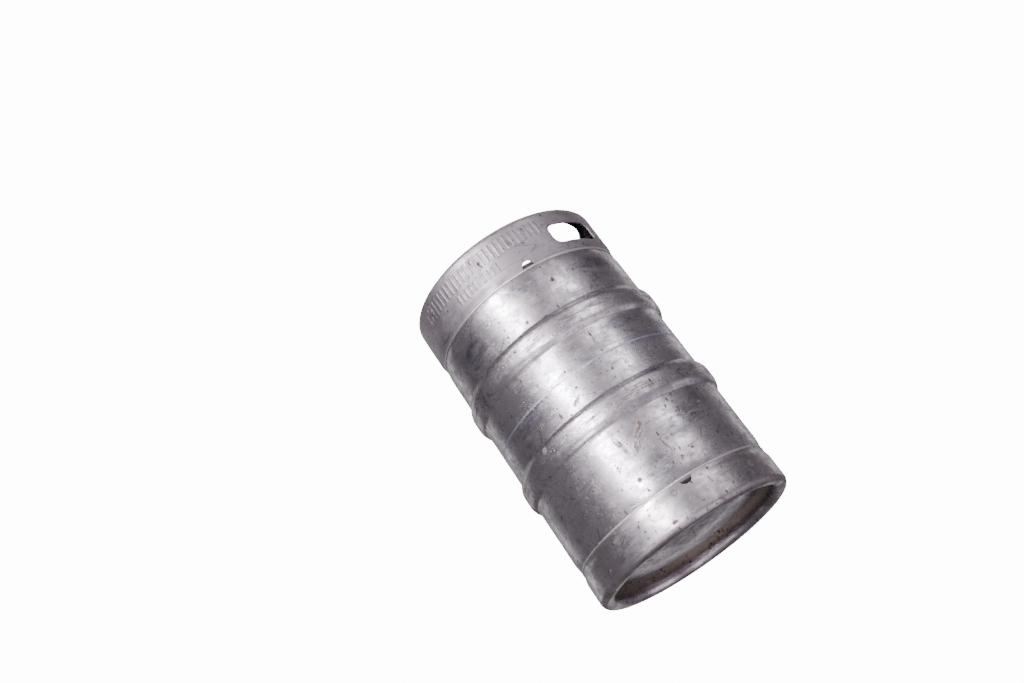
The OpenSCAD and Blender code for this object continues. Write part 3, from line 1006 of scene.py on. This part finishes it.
@dataclass
class Vessel:
    """The two half shells with their hoops and heads, and the weld between them."""

    wall: float = 1.5
    shoulder_rise: float = 28.0
    shoulder_radius: float = 95.0
    knuckle_radius: float = 24.0
    knuckle_end: float = 74.0
    foot_cone: float = 15.0
    hoop_width: float = 56.0
    hoop_crest: float = 16.0
    hoop_rise: float = 8.0
    hoop_fillet: float = 7.0
    hoop_offset: float = 82.0
    weld_half: float = 1.6
    weld_crown: float = 0.15
    weld_gap: float = 0.05
    neck_hole: float = 31.1
    spacing: float = 5.0
    unevenness: tuple[Point, ...] = ((70.0, 0.9), (22.0, 0.26))
    steps: int = 256
    radius: float = field(init=False)
    girth: float = field(init=False)
    top_joint: float = field(init=False)
    foot_joint: float = field(init=False)

    def __post_init__(self) -> None:
        """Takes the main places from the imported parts."""
        self.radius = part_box("upper_shell")[1].x / MM - self.hoop_rise
        low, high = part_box("girth_weld")
        self.girth = (low.z + high.z) / 2 / MM
        self.top_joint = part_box("upper_chime")[0].z / MM
        self.foot_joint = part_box("lower_chime")[1].z / MM

    def hoop(self) -> list[Point]:
        """The rolling hoop's outline, as radius and distance from the girth."""
        reach = (self.hoop_width - self.hoop_crest) / 2
        span = (self.hoop_rise**2 + reach**2) / (2 * self.hoop_rise)
        crest = span - self.hoop_fillet
        turn = math.degrees(math.asin(reach / span))
        outside = self.radius + self.hoop_fillet
        centre = self.radius + self.hoop_rise - crest
        at, half = self.hoop_offset, self.hoop_crest / 2
        return [
            *arc(outside, at - self.hoop_width / 2, self.hoop_fillet, 180, 180 - turn, 5),
            *arc(centre, at - half, crest, -turn, 0, 7),
            *arc(centre, at + half, crest, 0, turn, 7),
            *arc(outside, at + self.hoop_width / 2, self.hoop_fillet, 180 + turn, 180, 5),
        ]

    def half(self, joint: float, cone: float, hole: float) -> list[Point]:
        """The outline of a half shell.

        Args:
            joint: The distance from the girth to the chime's joint.
            cone: The length of the straight cone between the joint and the tight curve.
            hole: The radius of the opening in the head, or 0.

        Returns:
            Radius and distance from the girth, from the weld to the middle of the head.
        """
        shoulder = math.degrees(math.asin(self.shoulder_rise / self.shoulder_radius))
        foot = self.radius - self.shoulder_radius * (1 - math.cos(math.radians(shoulder)))
        sine, cosine = math.sin(math.radians(shoulder)), math.cos(math.radians(shoulder))
        x = foot - cone * sine - self.knuckle_radius * cosine
        u = cone * cosine - self.knuckle_radius * sine
        reach = x / math.cos(math.radians(self.knuckle_end))
        crown = self.knuckle_radius + reach
        centre = u - reach * math.sin(math.radians(self.knuckle_end))
        last = math.degrees(math.acos(hole / crown))
        return [
            (self.radius, self.weld_half + self.weld_gap),
            *self.hoop(),
            *arc(self.radius - self.shoulder_radius, joint - self.shoulder_rise,
                 self.shoulder_radius, 0, shoulder, 6),
            *arc(x, joint + u, self.knuckle_radius, shoulder, self.knuckle_end, 9),
            *arc(0, joint + centre, crown, self.knuckle_end, last, 22),
        ]

    def shell(self, name: str, points: list[Point]) -> Piece:
        """Spins one half shell, knocks it about a little, and gives it its wall.

        Args:
            name: The piece's name.
            points: The outline as radius and height.

        Returns:
            The finished half shell.
        """
        piece = turned(name, filled(points, self.spacing), self.steps)
        for size, amount in self.unevenness:
            uneven(piece, size, amount)
        apply(piece, "SOLIDIFY", thickness=self.wall * MM, offset=-1.0)
        smooth(piece)
        return piece

    def weld(self) -> Piece:
        """Spins the girth weld with its low crown, as uneven as the sheet on both sides of it.

        Returns:
            The finished weld.
        """
        third = self.weld_half / 3
        top = self.radius + self.weld_crown
        points = [
            (self.radius, -self.weld_half), (top, -third), (top, third),
            (self.radius, self.weld_half),
        ]
        return self.shell("girth_seam", [(r, self.girth + u) for r, u in points])

    def build(self, shell: Material, bead: Material) -> None:
        """Builds and dresses the vessel.

        Args:
            shell: The finish of the half shells.
            bead: The finish of the weld.
        """
        upper = self.half(self.top_joint - self.girth, 0.0, self.neck_hole)
        lower = self.half(self.girth - self.foot_joint, self.foot_cone, 0.0)
        top = self.shell("top_half_shell", [(r, self.girth + u) for r, u in upper])
        dress(top, shell, Slot.SHELL, Body.KEG, "upper_shell")
        foot = self.shell("foot_half_shell", [(r, self.girth - u) for r, u in lower])
        dress(foot, shell, Slot.SHELL, Body.KEG, "lower_shell")
        dress(self.weld(), bead, Slot.WELD, Body.KEG, "girth_weld")


# -------------------------------------------------------------- the chimes


@dataclass
class Chimes:
    """The top chime with handholds, drains and marking bars, the foot chime, and their welds."""

    vessel: Vessel
    wall: float = 1.8
    step: float = 0.8
    edge: float = 180.33
    flare: float = 18.0
    curl_radius: float = 12.5
    curl_turn: float = 190.0
    curl_wear: float = 0.4
    hold_width: float = 104.0
    hold_height: float = 40.0
    hold_corner: float = 13.0
    hold_depth: float = 56.0
    hold_roll: float = 2.0
    hold_lip: float = 1.2
    drain_radius: float = 11.0
    drain_turn: float = -39.0
    bar_width: float = 4.0
    bar_rise: float = 0.6
    bar_root: float = 0.6
    bar_slope: float = 1.8
    bar_edge: float = 0.6
    bead_height: float = 4.0
    bead_out: float = 0.7
    bead_ripple: Point = (3.0, 0.25)
    bead_steps: int = 360
    unevenness: Point = (60.0, 0.35)
    slack: float = 0.04
    spacing: float = 4.0
    rows: tuple[tuple[int, float, float, float, float], ...] = (
        (27, -107.0, -22.0, 27.0, 22.0), (10, -80.0, -53.0, 17.0, -10.0),
    )
    steps: int = 256
    top: float = field(init=False)

    def __post_init__(self) -> None:
        """Takes the rim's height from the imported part."""
        self.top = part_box("upper_chime")[1].z / MM

    @property
    def radius(self) -> float:
        """The radius of a chime's plain band."""
        return self.vessel.radius + self.step

    @property
    def hold_level(self) -> float:
        """The height of the handholds' middle."""
        return self.top - self.hold_depth

    def outline(self, length: float) -> list[Point]:
        """A chime's outline, as radius and distance from its joint.

        Args:
            length: The distance from the joint to the rim.

        Returns:
            The outer surface, from the joint to the free edge of the rolled rim.
        """
        out = self.radius - self.edge
        sweep = (self.flare**2 + out**2) / (4 * out)
        turn = math.degrees(math.asin(self.flare / 2 / sweep))
        centre = length - self.curl_radius + self.curl_wear
        worn = math.degrees(math.acos((self.curl_radius - self.curl_wear) / self.curl_radius))
        ring = self.radius - self.curl_radius
        return [
            *arc(self.edge + sweep, 0, sweep, 180, 180 - turn, 5),
            *arc(self.radius - sweep, self.flare, sweep, -turn, 0, 5),
            *arc(ring, centre, self.curl_radius, 0, 90 - worn, 10),
            *arc(ring, centre, self.curl_radius, 90 + worn, self.curl_turn, 12),
        ]

    def cut(self, piece: Piece, cutter: Piece, inside: Callable[[Vector], bool]) -> None:
        """Cuts one shape out of a sheet, and removes the cutter.

        Args:
            piece: The sheet that is cut.
            cutter: The closed shape that is cut out.
            inside: Whether a point, in millimetres, lies in the shape or on its surface.
        """
        first = len(piece.data.polygons)
        cutter.select_set(True)
        piece.select_set(True)
        bpy.context.view_layer.objects.active = piece
        bpy.ops.object.join()
        pick(piece, "FACE", lambda face: face.index >= first)
        bpy.ops.mesh.intersect(mode="SELECT_UNSELECT", separate_mode="NONE", solver="EXACT")
        pick(piece, "FACE", lambda face: inside(face.center / MM))
        bpy.ops.mesh.delete(type="FACE")
        bpy.ops.mesh.select_mode(type="VERT")
        bpy.ops.mesh.select_all(action="SELECT")
        bpy.ops.mesh.remove_doubles(threshold=2 * self.slack * MM)
        end()

    def in_handhold(self, point: Vector) -> bool:
        """Whether a point lies in the handholds' rounded outline, seen along X."""
        y = abs(point.y) - self.hold_width / 2 + self.hold_corner
        z = abs(point.z - self.hold_level) - self.hold_height / 2 + self.hold_corner
        away = math.hypot(max(y, 0), max(z, 0)) + min(max(y, z), 0)
        return away < self.hold_corner + self.hold_roll + self.slack

    def in_drain(self, point: Vector, level: float) -> bool:
        """Whether a point lies in the drains' round bar at a height."""
        turn = math.radians(self.drain_turn)
        across = point.y * math.cos(turn) - point.x * math.sin(turn)
        return math.hypot(across, point.z - level) < self.drain_radius + self.slack

    def handhold_cutter(self) -> Piece:
        """A long block with rounded corners that passes through both handholds.

        Returns:
            The block.
        """
        bpy.ops.object.select_all(action="DESELECT")
        bpy.ops.mesh.primitive_cube_add(size=1, location=(0, 0, self.hold_level * MM))
        piece = begin("handhold_cutter")
        grown = 2 * self.hold_roll
        size = (3 * self.radius, self.hold_width + grown, self.hold_height + grown)
        bpy.ops.transform.resize(value=tuple(side * MM for side in size))

        def lengthwise(edge: bpy.types.MeshEdge) -> bool:
            """Whether an edge runs along X."""
            a, b = (piece.data.vertices[i].co for i in edge.vertices)
            return abs(a.x - b.x) > MM

        pick(piece, "EDGE", lengthwise)
        corner = self.hold_corner + self.hold_roll
        bpy.ops.mesh.bevel(offset=corner * MM, segments=12, affect="EDGES")
        bpy.ops.mesh.select_mode(type="VERT")
        end()
        return piece

    def drain_cutter(self, level: float) -> Piece:
        """A long round bar that passes through both drain notches.

        Args:
            level: The height of the bar's axis.

        Returns:
            The bar.
        """
        bpy.ops.object.select_all(action="DESELECT")
        bpy.ops.mesh.primitive_cylinder_add(
            vertices=40, radius=self.drain_radius * MM, depth=3 * self.radius * MM,
            location=(0, 0, level * MM),
            rotation=(0, math.pi / 2, math.radians(self.drain_turn)),
        )
        piece = begin("drain_cutter")
        end()
        return piece

    def roll_lips(self, piece: Piece) -> None:
        """Turns the handholds' edges inwards, as the press leaves them.

        Args:
            piece: The chime's sheet, with its handholds cut.
        """
        for side in (-1, 1):
            bpy.context.view_layer.objects.active = piece
            bpy.ops.object.mode_set(mode="EDIT")
            bpy.ops.mesh.select_mode(type="EDGE")
            bpy.ops.mesh.select_all(action="DESELECT")
            bpy.ops.mesh.select_non_manifold(extend=False)
            bpy.ops.object.mode_set(mode="OBJECT")
            half = (self.hold_height / 2 + self.hold_roll + 1) * MM
            for edge in piece.data.edges:
                middle = sum((piece.data.vertices[i].co for i in edge.vertices), Vector()) / 2
                near = abs(middle.z - self.hold_level * MM) < half and middle.x * side > 0.1
                edge.select = edge.select and near
            bpy.ops.object.mode_set(mode="EDIT")
            width = self.hold_width / 2 + self.hold_roll
            height = self.hold_height / 2 + self.hold_roll
            turns = [math.radians(90 * i / 5) for i in range(1, 6)]
            steps = [
                (self.hold_roll * (1 - math.cos(t)), self.hold_roll * math.sin(t)) for t in turns
            ]
            steps.append((steps[-1][0] + self.hold_lip, steps[-1][1]))
            depth = inset = 0.0
            for deep, inward in steps:
                bpy.ops.mesh.extrude_region_move(
                    TRANSFORM_OT_translate={"value": (-side * (deep - depth) * MM, 0, 0)}
                )
                ratio = ((width - inward) / (width - inset), (height - inward) / (height - inset))
                bpy.ops.transform.resize(
                    value=(1, *ratio), center_override=(0, 0, self.hold_level * MM)
                )
                depth, inset = deep, inward
            bpy.ops.mesh.select_mode(type="VERT")
            end()

    def chime(self, name: str, points: list[Point], joint: float, lips: bool) -> Piece:
        """Spins one chime, cuts it, and gives it its wall and its softened edges.

        Args:
            name: The piece's name.
            points: The outline as radius and height.
            joint: The height of the chime's joint, where its drains are.
            lips: Whether it has handholds, with their edges rolled in.

        Returns:
            The finished chime.
        """
        piece = turned(name, filled(points, self.spacing), self.steps)
        self.cut(piece, self.drain_cutter(joint), lambda point: self.in_drain(point, joint))
        if lips:
            self.cut(piece, self.handhold_cutter(), self.in_handhold)
            self.roll_lips(piece)
        uneven(piece, *self.unevenness)
        apply(piece, "SOLIDIFY", thickness=self.wall * MM, offset=-1.0)
        smooth(piece)
        return piece

    def bars(self) -> Piece:
        """Models one plain raised bar for each row, and sets its copies round the top chime.

        Returns:
            All the bars, joined into one piece.
        """
        made: list[Piece] = []
        for count, start, stop, height, offset in self.rows:
            bpy.ops.object.select_all(action="DESELECT")
            bpy.ops.mesh.primitive_cube_add(size=1)
            bar = begin("marking_bars")
            size = (self.bar_root, self.bar_width + self.bar_slope, height + self.bar_slope)
            bpy.ops.transform.resize(value=tuple(side * MM for side in size))
            middle = self.radius - self.bar_root / 2
            bpy.ops.transform.translate(value=(middle * MM, 0, (self.hold_level + offset) * MM))
            pick(bar, "FACE", lambda face: face.normal.x > 0.9)
            bpy.ops.mesh.inset(thickness=self.bar_slope * MM)
            bpy.ops.transform.translate(value=(self.bar_rise * MM, 0, 0))
            bpy.ops.mesh.select_mode(type="VERT")
            end()
            apply(bar, "BEVEL", width=self.bar_edge * MM, segments=3, limit_method="ANGLE")
            for i in range(count):
                copy = bar if i == count - 1 else bar.copy()
                if i < count - 1:
                    copy.data = bar.data.copy()
                    bpy.context.scene.collection.objects.link(copy)
                turn = math.radians(start + (stop - start) * i / (count - 1))
                copy.data.transform(Matrix.Rotation(turn, 4, "Z"))
                made.append(copy)
        bpy.ops.object.select_all(action="DESELECT")
        for bar in made:
            bar.select_set(True)
        bpy.context.view_layer.objects.active = made[0]
        bpy.ops.object.join()
        piece = bpy.context.object
        piece.name = piece.data.name = "marking_bars"
        smooth(piece, 50)
        return piece

    def bead(self, name: str, joint: float, way: int) -> Piece:
        """Spins the weld bead in the corner under a chime's edge.

        Args:
            name: The piece's name.
            joint: The height of the chime's joint.
            way: 1 for the top chime, and -1 for the foot.

        Returns:
            The finished bead.
        """
        v = self.vessel
        high, out, gap = self.bead_height, self.bead_out, v.weld_gap
        inner = []
        for i in range(5):
            u = -high + (high - gap) * i / 4
            reach = math.sqrt(v.shoulder_radius**2 - (v.shoulder_rise + u) ** 2)
            inner.append((v.radius - v.shoulder_radius + reach + gap, u))
        # The outer side is a curve from a to c that leans towards b.
        a = (self.edge + out / 2, -gap)
        b = (self.edge + 2 * out, -high / 2)
        c = (inner[0][0] + out - gap, -high)
        outer = [
            tuple((1 - t) ** 2 * a[k] + 2 * t * (1 - t) * b[k] + t * t * c[k] for k in (0, 1))
            for t in (i / 6 for i in range(7))
        ]
        points = [(r, joint + way * u) for r, u in [*inner, *outer]]
        piece = turned(name, points, self.bead_steps, closed=True)
        uneven(piece, *self.bead_ripple)
        smooth(piece, 60)
        return piece

    def build(self, top: Material, foot: Material, bead: Material) -> None:
        """Builds and dresses the chimes.

        Args:
            top: The finish of the top chime and its bars.
            foot: The finish of the foot chime.
            bead: The finish of the welds.
        """
        v = self.vessel
        high = [(r, v.top_joint + u) for r, u in self.outline(self.top - v.top_joint)]
        low = [(r, v.foot_joint - u) for r, u in self.outline(v.foot_joint)]
        rim = self.chime("top_chime", high, v.top_joint, lips=True)
        dress(rim, top, Slot.CHIME, Body.KEG, "upper_chime")
        ring = self.chime("foot_chime", low, v.foot_joint, lips=False)
        dress(ring, foot, Slot.CHIME, Body.KEG, "lower_chime")
        dress(self.bars(), top, Slot.CHIME, Body.KEG)
        upper = self.bead("top_chime_bead", v.top_joint, 1)
        dress(upper, bead, Slot.WELD, Body.KEG, "upper_chime_weld")
        lower = self.bead("foot_chime_bead", v.foot_joint, -1)
        dress(lower, bead, Slot.WELD, Body.KEG, "lower_chime_weld")


# -------------------------------------------------------------- the studio


@dataclass(frozen=True)
class SoftBox:
    """A soft light: its place round the keg, its size in metres, its power, lean and colour."""

    azimuth: float
    elevation: float
    distance: float
    width: float
    height: float
    power: float
    roll: float = 0.0
    colour: str = "#FFFFFF"


@dataclass
class Studio:
    """The camera, the pale floor, the surroundings and the soft lights."""

    distance: float = 1988.65
    drop: float = 371.53
    azimuth: float = 36.5
    yaw: float = -1.5601
    pitch: float = 23.4014
    roll: float = 35.1867
    lens: float = 42.557
    floor_reach: float = 6.0
    floor_drop: float = 0.0002
    # The reach and depth of the shadow painted on the floor round the keg's foot.
    nook_reach: float = 0.4
    nook_depth: float = 4.0
    white: float = 14.0
    floor_glow: float = 2.0
    wall_glow: float = 0.27
    ceiling_glow: float = 0.12
    lit_side: tuple[float, float, float] = (0.94, -0.34, 0.0)
    aim: float = 0.3
    boxes: tuple[SoftBox, ...] = (
        SoftBox(-70.0, 20.0, 2.4, 0.34, 2.8, 232.0, 16.0),
        SoftBox(-14.0, 20.0, 2.6, 0.9, 2.4, 15.0),
        SoftBox(0.0, 20.0, 2.6, 0.6, 2.4, 24.0),
        SoftBox(127.0, 22.0, 2.6, 0.6, 2.2, 60.0),
        SoftBox(172.0, 20.0, 2.6, 0.9, 2.2, 6.0),
        SoftBox(86.0, 20.0, 2.6, 0.8, 2.2, 6.0),
        SoftBox(126.0, -24.0, 2.4, 1.6, 1.0, 2.0),
        SoftBox(-78.0, -34.0, 2.4, 0.6, 0.8, 20.0),
        SoftBox(60.0, 75.0, 2.6, 1.6, 1.6, 16.0),
    )

    def camera(self) -> None:
        """Sets the camera low and rolled, so that the keg leans as it does on a truck."""
        turn = math.radians(self.azimuth)
        lens = bpy.data.cameras.new("camera")
        lens.lens, lens.sensor_width = self.lens, 36.0
        lens.clip_start, lens.clip_end = 0.05, 50.0
        camera = bpy.data.objects.new("camera", lens)
        bpy.context.scene.collection.objects.link(camera)
        spot = Matrix.Rotation(turn, 4, "Z") @ Vector((0, -self.distance * MM, -self.drop * MM))
        camera.matrix_world = (
            Matrix.Translation(spot)
            @ Matrix.Rotation(turn - math.radians(self.yaw), 4, "Z")
            @ Matrix.Rotation(math.radians(90 + self.pitch), 4, "X")
            @ Matrix.Rotation(-math.radians(self.roll), 4, "Z")
        )
        bpy.context.scene.camera = camera

    def floor(self) -> None:
        """Lays a pale floor that is seen from above only, so that it never hides the low view."""
        bpy.ops.object.select_all(action="DESELECT")
        place = (0, 0, -self.floor_drop)
        bpy.ops.mesh.primitive_plane_add(size=2 * self.floor_reach, location=place)
        floor = bpy.context.object
        floor.name = floor.data.name = "studio_floor"
        bpy.ops.object.select_all(action="DESELECT")
        material = bpy.data.materials.new("pale_studio_floor")
        material.use_nodes = True
        tree = material.node_tree
        tree.nodes.clear()
        side = add(tree, "ShaderNodeNewGeometry")
        # The paper glows evenly white, but for a painted soft shadow that darkens it where the keg
        # stands on it.
        nook = add(
            tree, "ShaderNodeAmbientOcclusion", {"Distance": self.nook_reach}, samples=8
        )
        shade = add(
            tree, "ShaderNodeMath", {0: nook.outputs["AO"], 1: self.nook_depth}, operation="POWER"
        )
        lit = add(
            tree, "ShaderNodeMath", {0: shade.outputs[0], 1: self.white}, operation="MULTIPLY"
        )
        pale = add(
            tree, "ShaderNodeEmission", {"Color": linear("#FFFFFF"), "Strength": lit.outputs[0]}
        )
        clear = add(tree, "ShaderNodeBsdfTransparent")
        mixed = add(
            tree, "ShaderNodeMixShader",
            {0: side.outputs["Backfacing"], 1: pale.outputs[0], 2: clear.outputs[0]},
        )
        add(tree, "ShaderNodeOutputMaterial", {"Surface": mixed.outputs[0]})
        floor.data.materials.append(material)
        floor.visible_diffuse = floor.visible_glossy = False
        floor.visible_transmission = floor.visible_shadow = False

    def surroundings(self) -> None:
        """Puts a white backdrop behind the keg, and a grey room in what the steel reflects."""
        world = bpy.data.worlds.new("studio")
        bpy.context.scene.world = world
        world.use_nodes = True
        tree = world.node_tree
        tree.nodes.clear()
        path = add(tree, "ShaderNodeLightPath")
        way = add(tree, "ShaderNodeTexCoord")
        level = add(tree, "ShaderNodeSeparateXYZ", {0: way.outputs["Generated"]})
        under = add(
            tree, "ShaderNodeMapRange",
            {
                "Value": level.outputs["Z"], "From Min": -0.55, "From Max": -0.12,
                "To Min": self.floor_glow, "To Max": 0.0,
            },
        )
        # The floor in front of the keg is lit; the floor behind it lies in shade.
        toward = add(
            tree, "ShaderNodeVectorMath", {0: way.outputs["Generated"], 1: self.lit_side},
            operation="DOT_PRODUCT",
        )
        front = add(
            tree, "ShaderNodeMapRange",
            {"Value": toward.outputs["Value"], "From Min": -0.1, "From Max": 0.5},
        )
        low = add(
            tree, "ShaderNodeMath", {0: under.outputs[0], 1: front.outputs[0]},
            operation="MULTIPLY",
        )
        walls = add(
            tree, "ShaderNodeMapRange",
            {
                "Value": level.outputs["Z"], "From Min": 0.3, "From Max": 0.8,
                "To Min": self.wall_glow, "To Max": self.ceiling_glow,
            },
        )
        strength = add(
            tree, "ShaderNodeMath", {0: low.outputs[0], 1: walls.outputs[0]}, operation="ADD"
        )
        room = add(
            tree, "ShaderNodeBackground",
            {"Color": linear("#E8E1E9"), "Strength": strength.outputs[0]},
        )
        white = add(
            tree, "ShaderNodeBackground", {"Color": linear("#FFFFFF"), "Strength": self.white}
        )
        seen = add(
            tree, "ShaderNodeMixShader",
            {0: path.outputs["Is Camera Ray"], 1: room.outputs[0], 2: white.outputs[0]},
        )
        add(tree, "ShaderNodeOutputWorld", {"Surface": seen.outputs[0]})

    def lights(self) -> None:
        """Hangs the soft boxes round the keg, all turned to its middle."""
        middle = Vector((0, 0, self.aim))
        for i, box in enumerate(self.boxes):
            a, e = math.radians(box.azimuth), math.radians(box.elevation)
            back = Vector((math.cos(a) * math.cos(e), math.sin(a) * math.cos(e), math.sin(e)))
            light = bpy.data.lights.new(f"soft_box_{i}", "AREA")
            light.shape, light.size, light.size_y = "RECTANGLE", box.width, box.height
            light.energy, light.color = box.power, linear(box.colour)[:3]
            lamp = bpy.data.objects.new(f"soft_box_{i}", light)
            bpy.context.scene.collection.objects.link(lamp)
            lamp.location = middle + back * box.distance
            lean = Matrix.Rotation(math.radians(box.roll), 3, "Z")
            lamp.rotation_euler = (back.to_track_quat("Z", "Y").to_matrix() @ lean).to_euler()
            lamp.visible_camera = False

    def build(self) -> None:
        """Sets up the whole studio."""
        self.camera()
        self.floor()
        self.surroundings()
        self.lights()


# -------------------------------------------------------------------- main


def dress_kept_parts(finishes: dict[str, Material]) -> None:
    """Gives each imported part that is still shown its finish.

    Args:
        finishes: The finish of each part, by the part's name.
    """
    for name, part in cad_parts.items():
        if part.hide_render:
            continue
        part.data.materials.clear()
        part.data.materials.append(finishes[name])
        LOG.info("%s: kept as packed, in %s", name, finishes[name].name)


def main() -> None:
    """Builds the keg in order, from the studio to the valve."""
    logging.basicConfig(level=logging.INFO, format="%(message)s", stream=sys.stdout)
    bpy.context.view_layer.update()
    Studio().build()
    vessel = Vessel()
    chimes = Chimes(vessel)
    girth, offset = vessel.girth, vessel.hoop_offset
    top_joint, foot_joint = vessel.top_joint, vessel.foot_joint
    shell = WornStainless(
        "pickled_stainless_shell",
        grimy=(Band(top_joint - 4, 12, 0.3), Band(foot_joint + 4, 14, 0.4)),
        tinted=(Band(girth, 16, 0.8),),
        crests=(Band(girth + offset, 17, 1.0), Band(girth - offset, 17, 1.0)),
        # Painted shade in the pocket that the foot's drain notch looks into.
        caked=(Band(foot_joint - 9, 9, 3.0),),
        marks=(
            *marks(
                Kind.HEAT,
                (-50, 481, 62, 17, 0), (-92, 455, 44, 34, 0), (-6, 470, 70, 20, 0),
                (-16, 345, 70, 14, 0), (-46, 96, 34, 36, 0), (-22, 150, 60, 34, 0),
                (-84, 290, 34, 18, 0), (-18, 408, 110, 8, 0), (-18, 242, 110, 8, 0),
            ),
            *marks(
                Kind.GOUGE,
                (-46, 155, 11, 42, -42), (-55, 161, 7, 26, 12), (-37, 128, 2, 42, 12),
                (-72, 326, 6, 4, 0), (-60, 262, 12, 5, 30),
            ),
            *marks(Kind.FRESH, (-25, 445, 3, 22, -30)),
            *marks(
                Kind.RUST,
                (-33, 463, 7, 5, 0), (-57, 422, 5, 5, 0), (-41, 174, 5, 9, 0),
                (-71, 260, 5, 9, 0), (-66, 250, 4, 3, 0),
            ),
        ),
    ).material()
    top = WornStainless(
        "pressed_stainless_chime", steel="#847C83", roughness=0.4, pit_share=0.2, rust_share=0.1,
        grimy=(Band(top_joint, 10, 0.3),),
        marks=(*marks(Kind.FRESH, (-31, 497, 17, 4, 4)), *marks(Kind.RUST, (-60, 560, 3, 8, 0))),
    ).material()
    foot = WornStainless(
        "scuffed_stainless_foot", steel="#BFB6BC", rust_share=0.35,
        grimy=(Band(foot_joint, 10, 0.5), Band(0, 12, 0.4)),
        lined=(Band(foot_joint / 2, 16, 3.0),),
        lined_radius=chimes.radius - chimes.wall / 2,
        marks=(
            *marks(Kind.RUST, (-55, 16, 8, 4, 0), (-5, 22, 3, 3, 0)),
            *marks(Kind.FRESH, (-30, 36, 16, 5, 0), (-62, 30, 12, 5, 15)),
        ),
    ).material()
    bead = WeldBead("brushed_weld_bead", "#A59FA5", "#958E93").material()
    seam = WeldBead("planished_girth_weld", "#918C92", "#8E8993", ripple=5.0).material()
    vessel.build(shell, seam)
    chimes.build(top, foot, bead)
    turned_steel = TurnedSteel("turned_stainless_neck").material()
    valve = TurnedSteel("turned_stainless_valve", steel="#C6C4C6", roughness=0.22).material()
    tube = TurnedSteel("drawn_stainless_tube", roughness=0.3, ring=2.0).material()
    spring = TurnedSteel("drawn_spring_wire", steel="#A9A7A6", roughness=0.3, ring=0.6).material()
    rubber = MouldedRubber("moulded_nitrile_rubber").material()
    dress_kept_parts({
        "neck": turned_steel, "neck_weld": bead, "housing_gasket": rubber, "valve_housing": valve,
        "retaining_ring": spring, "spring_cage": valve, "main_spring": spring,
        "gas_seal": rubber, "valve_cup": valve, "down_tube": tube, "ball_cage": valve,
        "ball_spring": spring, "beer_ball": valve,
    })


if __name__ == "__main__":
    main()
